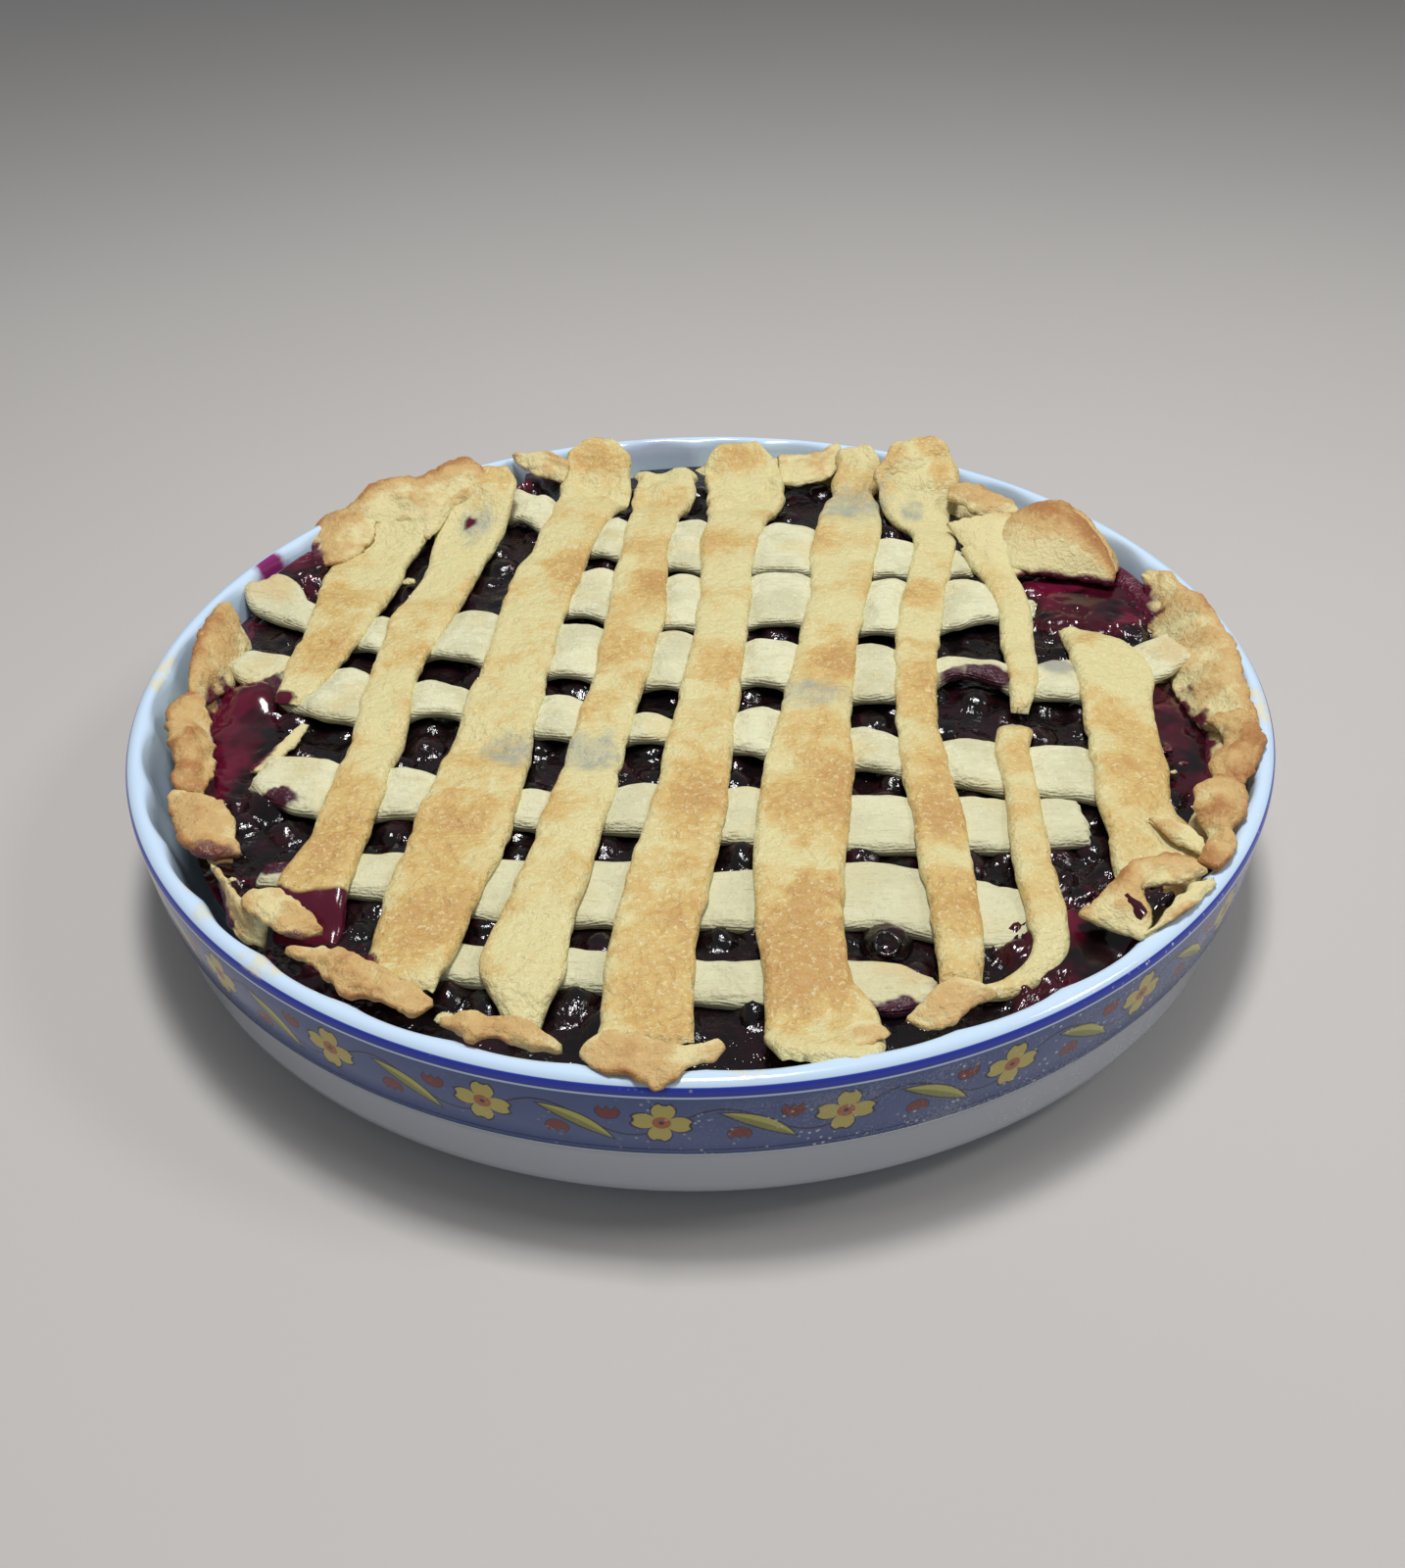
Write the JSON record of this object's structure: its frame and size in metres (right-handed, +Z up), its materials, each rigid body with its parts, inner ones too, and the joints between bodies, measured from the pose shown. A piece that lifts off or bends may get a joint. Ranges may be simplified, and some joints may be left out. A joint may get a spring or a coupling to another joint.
{
  "type": "blueberry tart in a baking dish",
  "caption": "Round blueberry tart with a lattice of flat pastry strips over dark berries, in its own white fluted ceramic dish with a flowered band.",
  "frame": {"origin": "centre of the dish's foot, on the surface that it stands on", "axes": "+Z up, -Y towards the front of the pictured view, +X to its right"},
  "size_m": [0.3, 0.3, 0.0563],
  "materials": {
    "glazed_dish": "glossy white glazed stoneware with a blue flowered band under the lip",
    "crust": "baked shortcrust, browned at the folds",
    "berries": "dark glossy berries in purple juice",
    "pale_pastry": "pale baked pastry",
    "golden_pastry": "golden baked pastry, matt and lightly browned"
  },
  "bodies": {
    "root": {"dish": "glazed_dish", "pastry_case": "crust", "berry_filling": "berries", "cross_strip_1": "pale_pastry", "cross_strip_2": "pale_pastry", "cross_strip_3": "pale_pastry", "cross_strip_4": "pale_pastry", "cross_strip_5": "pale_pastry", "cross_strip_6": "pale_pastry", "cross_strip_7": "pale_pastry", "long_strip_1": "golden_pastry", "long_strip_2": "golden_pastry", "long_strip_3": "golden_pastry", "long_strip_4": "golden_pastry", "long_strip_5": "golden_pastry", "long_strip_6": "golden_pastry", "long_strip_7": "golden_pastry", "long_strip_8_back": "golden_pastry", "long_strip_8_front": "golden_pastry", "long_strip_9": "golden_pastry"}
  },
  "joints": []
}
